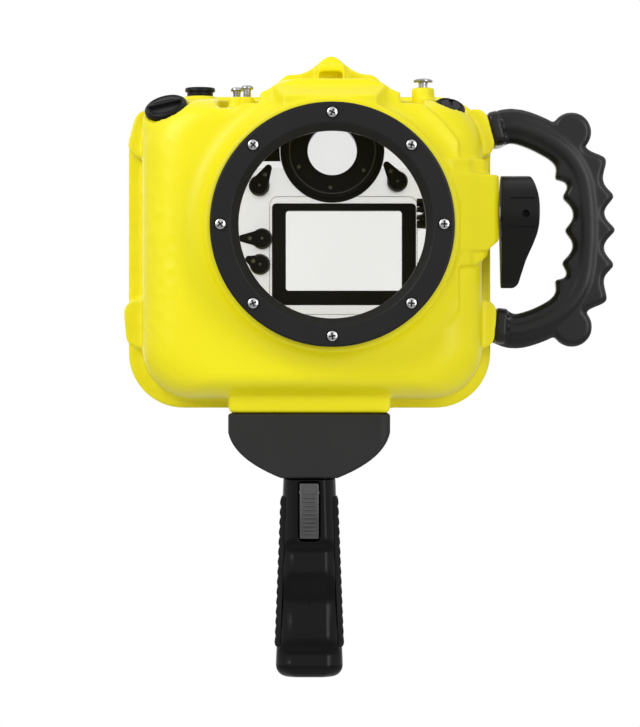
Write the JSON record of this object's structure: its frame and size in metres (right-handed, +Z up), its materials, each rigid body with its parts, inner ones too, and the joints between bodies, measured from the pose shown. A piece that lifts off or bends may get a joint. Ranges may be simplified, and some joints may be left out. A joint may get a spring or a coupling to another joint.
{
  "type": "underwater camera housing",
  "caption": "Underwater camera housing: moulded yellow body with a bolted lens port ring, clear screwed back cover, side handle, zoom knob, push buttons and a pistol grip with trigger.",
  "frame": {"origin": "middle of the pistol grip, where the hand holds it", "axes": "+Z up along the grip, the lens port faces -Y, the side handle is on +X"},
  "size_m": [0.2674, 0.1216, 0.3347],
  "materials": {
    "yellow_shell": "bright yellow, satin gloss",
    "black_plastic": "black, satin",
    "grey_black": "dark grey, fine grain",
    "black_rubber": "black, matt",
    "anodised": "black anodised, satin",
    "steel": "polished stainless",
    "trigger_grey": "mid grey, satin",
    "label_grey": "light grey sheet",
    "clear": "clear cast plastic, polished"
  },
  "bodies": {
    "housing": {"front_shell": "yellow_shell", "port_ring": "anodised", "port_seal": "black_rubber", "rear_seal": "black_rubber", "side_handle": "black_plastic", "grip_bracket": "grey_black", "bracket_bolt_1": "steel", "bracket_bolt_2": "steel", "pistol_grip": "black_plastic", "grip_panel_right": "black_rubber", "grip_panel_left": "black_rubber", "grip_bolt": "steel", "trigger_pin": "steel", "trigger_switch": "black_plastic", "knob_bush": "anodised", "left_plug": "black_plastic", "right_plug": "black_plastic", "camera_tray": "anodised", "tray_screw": "steel", "port_screw_1": "steel", "port_screw_2": "steel", "port_screw_3": "steel", "port_screw_4": "steel", "port_screw_5": "steel", "port_screw_6": "steel", "port_screw_7": "steel", "port_screw_8": "steel", "handle_bolt_1": "steel", "handle_bolt_2": "steel", "handle_bolt_3": "steel", "handle_bolt_4": "steel"},
    "trigger": {"trigger": "trigger_grey"},
    "zoom_control": {"zoom_knob": "black_plastic", "knob_shaft": "steel", "crown_gear": "black_plastic"},
    "top_button_1": {"top_button_1": "steel"},
    "top_button_2": {"top_button_2": "steel"},
    "top_button_3": {"top_button_3": "steel"},
    "shutter_button": {"shutter_button": "black_plastic"},
    "cover": {"back_cover": "clear", "camera_pad": "black_rubber", "screen_mask": "black_plastic", "control_panel": "label_grey", "viewfinder_ring": "black_plastic", "viewfinder_window": "clear", "viewfinder_cup": "black_rubber"},
    "rear_button_1": {"rear_button_1": "black_plastic", "button_lever_1": "black_plastic"},
    "rear_button_2": {"rear_button_2": "black_plastic", "button_lever_2": "black_plastic"},
    "rear_button_3": {"rear_button_3": "black_plastic", "button_lever_3": "black_plastic"},
    "rear_button_4": {"rear_button_4": "black_plastic", "button_lever_4": "black_plastic"},
    "thumb_screw_1": {"thumb_screw_1": "steel"},
    "thumb_screw_2": {"thumb_screw_2": "steel"},
    "thumb_screw_3": {"thumb_screw_3": "steel"},
    "thumb_screw_4": {"thumb_screw_4": "steel"},
    "thumb_screw_5": {"thumb_screw_5": "steel"},
    "thumb_screw_6": {"thumb_screw_6": "steel"}
  },
  "joints": [
    {"name": "cover_lift", "type": "slide", "parent": "housing", "child": "cover", "axis": [0, 1, 0], "range_m": [0, 0.12]},
    {"name": "thumb_screw_1_turn", "type": "hinge", "parent": "cover", "child": "thumb_screw_1", "pos_m": [0.0117, 0, 0.273], "axis": [0, 1, 0], "continuous": true},
    {"name": "thumb_screw_2_turn", "type": "hinge", "parent": "cover", "child": "thumb_screw_2", "pos_m": [0.0836, 0, 0.2442], "axis": [0, 1, 0], "continuous": true},
    {"name": "thumb_screw_3_turn", "type": "hinge", "parent": "cover", "child": "thumb_screw_3", "pos_m": [0.0836, 0, 0.1046], "axis": [0, 1, 0], "continuous": true},
    {"name": "thumb_screw_4_turn", "type": "hinge", "parent": "cover", "child": "thumb_screw_4", "pos_m": [0, 0, 0.0945], "axis": [0, 1, 0], "continuous": true},
    {"name": "thumb_screw_5_turn", "type": "hinge", "parent": "cover", "child": "thumb_screw_5", "pos_m": [-0.0836, 0, 0.1046], "axis": [0, 1, 0], "continuous": true},
    {"name": "thumb_screw_6_turn", "type": "hinge", "parent": "cover", "child": "thumb_screw_6", "pos_m": [-0.0836, 0, 0.2442], "axis": [0, 1, 0], "continuous": true},
    {"name": "rear_button_1_press", "type": "slide", "parent": "cover", "child": "rear_button_1", "axis": [0, -1, 0], "range_m": [0, 0.0035], "stiffness_N_per_m": 600, "springref_m": -0.001},
    {"name": "rear_button_2_press", "type": "slide", "parent": "cover", "child": "rear_button_2", "axis": [0, -1, 0], "range_m": [0, 0.0035], "stiffness_N_per_m": 600, "springref_m": -0.001},
    {"name": "rear_button_3_press", "type": "slide", "parent": "cover", "child": "rear_button_3", "axis": [0, -1, 0], "range_m": [0, 0.0035], "stiffness_N_per_m": 600, "springref_m": -0.001},
    {"name": "rear_button_4_press", "type": "slide", "parent": "cover", "child": "rear_button_4", "axis": [0, -1, 0], "range_m": [0, 0.0035], "stiffness_N_per_m": 600, "springref_m": -0.001},
    {"name": "top_button_1_press", "type": "slide", "parent": "housing", "child": "top_button_1", "axis": [0, 0, -1], "range_m": [0, 0.0024], "stiffness_N_per_m": 800, "springref_m": -0.001},
    {"name": "top_button_2_press", "type": "slide", "parent": "housing", "child": "top_button_2", "axis": [0, 0, -1], "range_m": [0, 0.0024], "stiffness_N_per_m": 800, "springref_m": -0.001},
    {"name": "top_button_3_press", "type": "slide", "parent": "housing", "child": "top_button_3", "axis": [0, 0, -1], "range_m": [0, 0.0024], "stiffness_N_per_m": 800, "springref_m": -0.001},
    {"name": "shutter_press", "type": "slide", "parent": "housing", "child": "shutter_button", "axis": [0, 0, -1], "range_m": [0, 0.002], "stiffness_N_per_m": 800, "springref_m": -0.001},
    {"name": "zoom_turn", "type": "hinge", "parent": "housing", "child": "zoom_control", "pos_m": [0.09, -0.008, 0.194], "axis": [1, 0, 0], "continuous": true},
    {"name": "trigger_pull", "type": "hinge", "parent": "housing", "child": "trigger", "pos_m": [0, -0.014, 0.0452], "axis": [1, 0, 0], "range_deg": [0, 8], "stiffness_Nm_per_rad": 0.4, "springref_deg": -2.86}
  ]
}
